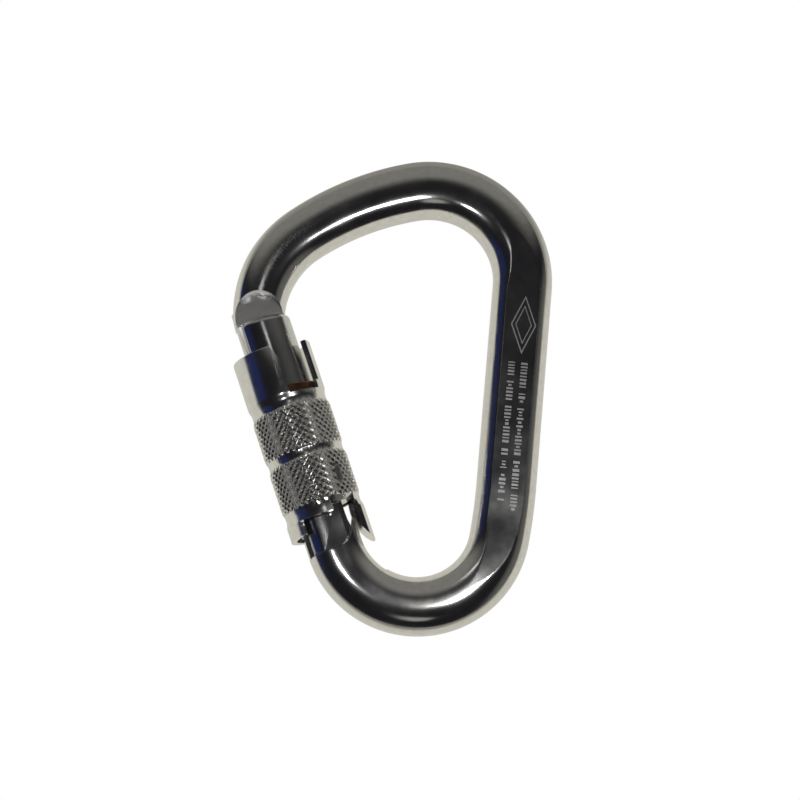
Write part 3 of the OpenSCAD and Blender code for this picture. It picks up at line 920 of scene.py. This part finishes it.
# ---------------------------------------------------------------- light and floor
def make_world():
    """A dark room over a white table, with a grey wall behind it and something blue on the left."""
    world = bpy.data.worlds.new("room")
    bpy.context.scene.world = world
    world.use_nodes = True
    nodes, links = world.node_tree.nodes, world.node_tree.links
    nodes.clear()
    place = nodes.new("ShaderNodeTexCoord")
    base = nodes.new("ShaderNodeRGB")
    base.outputs[0].default_value = (0.012, 0.012, 0.014, 1)
    total = base.outputs[0]
    lobes = (
        # direction, cosine where it starts, cosine where it is full, colour
        (toward(0, 1, 0.0), 0.5, 0.8, (0.20, 0.195, 0.175)),
        (toward(-1, 0.1, 0.2), 0.86, 0.97, (0.003, 0.009, 0.06)),
        (toward(1, -0.2, 0.0), 0.75, 0.95, (0.10, 0.10, 0.09)),
        (toward(0.05, -0.53, 0.85), 0.982, 0.995, (0.32, 0.32, 0.3)),
    )
    for direction, start, full, colour in lobes:
        dot = nodes.new("ShaderNodeVectorMath")
        dot.operation = "DOT_PRODUCT"
        dot.inputs[1].default_value = direction
        links.new(place.outputs["Generated"], dot.inputs[0])
        fade = nodes.new("ShaderNodeMapRange")
        fade.interpolation_type = "SMOOTHSTEP"
        fade.inputs["From Min"].default_value = start
        fade.inputs["From Max"].default_value = full
        links.new(dot.outputs["Value"], fade.inputs["Value"])
        add = nodes.new("ShaderNodeMixRGB")
        add.blend_type = "ADD"
        links.new(fade.outputs["Result"], add.inputs["Fac"])
        links.new(total, add.inputs["Color1"])
        add.inputs["Color2"].default_value = (*colour, 1)
        total = add.outputs["Color"]
    room = nodes.new("ShaderNodeBackground")
    links.new(total, room.inputs["Color"])
    seen = nodes.new("ShaderNodeBackground")
    seen.inputs["Color"].default_value = (1, 1, 1, 1)
    ray = nodes.new("ShaderNodeLightPath")
    mix = nodes.new("ShaderNodeMixShader")
    links.new(ray.outputs["Is Camera Ray"], mix.inputs["Fac"])
    links.new(room.outputs["Background"], mix.inputs[1])
    links.new(seen.outputs["Background"], mix.inputs[2])
    out = nodes.new("ShaderNodeOutputWorld")
    links.new(mix.outputs["Shader"], out.inputs["Surface"])


TABLE_HALF = 1500
TABLE_Z = -10.46
TABLE_GLOW = 0.78
# the table falls into shade beyond both ends of the loop: where it starts, where it is full, how bright
TABLE_SHADES = ((30, 75, 0.44), (-70, -120, 0.4))


def make_floor():
    """A shadowless white table just under the part. Reflected, it is cream and shaded at both ends."""
    centre = Vector((0, 0, TABLE_Z))
    across = floor_up.orthogonal().normalized()
    span = Matrix((across, floor_up.cross(across), floor_up)).transposed()
    signs = ((-1, -1), (1, -1), (1, 1), (-1, 1))
    corners = [centre + span @ Vector((x * TABLE_HALF, y * TABLE_HALF, 0)) for x, y in signs]
    ob = mesh_object("table", corners, [(0, 1, 2, 3)])
    mat = bpy.data.materials.new("table_white")
    mat.use_nodes = True
    nodes, links = mat.node_tree.nodes, mat.node_tree.links
    nodes.clear()
    glow = nodes.new("ShaderNodeEmission")
    glow.inputs["Color"].default_value = (0.80, 0.785, 0.70, 1)
    spot = nodes.new("ShaderNodeNewGeometry")
    split = nodes.new("ShaderNodeSeparateXYZ")
    links.new(spot.outputs["Position"], split.inputs["Vector"])
    shades = []
    for near, far, dimmed in TABLE_SHADES:
        shade = nodes.new("ShaderNodeMapRange")
        shade.interpolation_type = "SMOOTHSTEP"
        shade.inputs["From Min"].default_value = near * MM
        shade.inputs["From Max"].default_value = far * MM
        shade.inputs["To Min"].default_value = 1.0
        shade.inputs["To Max"].default_value = dimmed
        links.new(split.outputs["Y"], shade.inputs["Value"])
        shades.append(shade)
    both = nodes.new("ShaderNodeMath")
    both.operation = "MULTIPLY"
    links.new(shades[0].outputs["Result"], both.inputs[0])
    links.new(shades[1].outputs["Result"], both.inputs[1])
    strength = nodes.new("ShaderNodeMath")
    strength.operation = "MULTIPLY"
    strength.inputs[1].default_value = TABLE_GLOW
    links.new(both.outputs["Value"], strength.inputs[0])
    links.new(strength.outputs["Value"], glow.inputs["Strength"])
    seen = nodes.new("ShaderNodeEmission")
    ray = nodes.new("ShaderNodeLightPath")
    mix = nodes.new("ShaderNodeMixShader")
    out = nodes.new("ShaderNodeOutputMaterial")
    links.new(ray.outputs["Is Camera Ray"], mix.inputs["Fac"])
    links.new(glow.outputs["Emission"], mix.inputs[1])
    links.new(seen.outputs["Emission"], mix.inputs[2])
    links.new(mix.outputs["Shader"], out.inputs["Surface"])
    ob.data.materials.append(mat)


LAMPS_OUT = 190
LAMPS = (
    # name, places to the right and upward as the viewer sees them, size, power
    ("left_lamp", -42, 4, (18, 10), 0.017),
    ("right_lamp", 54, 6, (34, 14), 0.045),
    ("far_panel", -34, 116, (26, 16), 0.002),
)


def lamp(name, place, size, power):
    """A soft rectangular light at a place in mm, facing the middle of the view."""
    data = bpy.data.lights.new(name, "AREA")
    data.shape = "RECTANGLE"
    data.size, data.size_y = size[0] * MM, size[1] * MM
    data.energy = power
    ob = bpy.data.objects.new(name, data)
    bpy.context.scene.collection.objects.link(ob)
    ob.location = place * MM
    ob.rotation_mode = "QUATERNION"
    ob.rotation_quaternion = (place - CAMERA_AIM).to_track_quat("Z", "Y")
    ob.visible_camera = False


def make_lights():
    for name, across, upward, size, power in LAMPS:
        place = CAMERA_AIM + right * across + up * upward + back * LAMPS_OUT
        lamp(name, place, size, power)


make_camera()
make_world()
make_floor()
make_lights()
bpy.context.scene.view_settings.view_transform = "Standard"
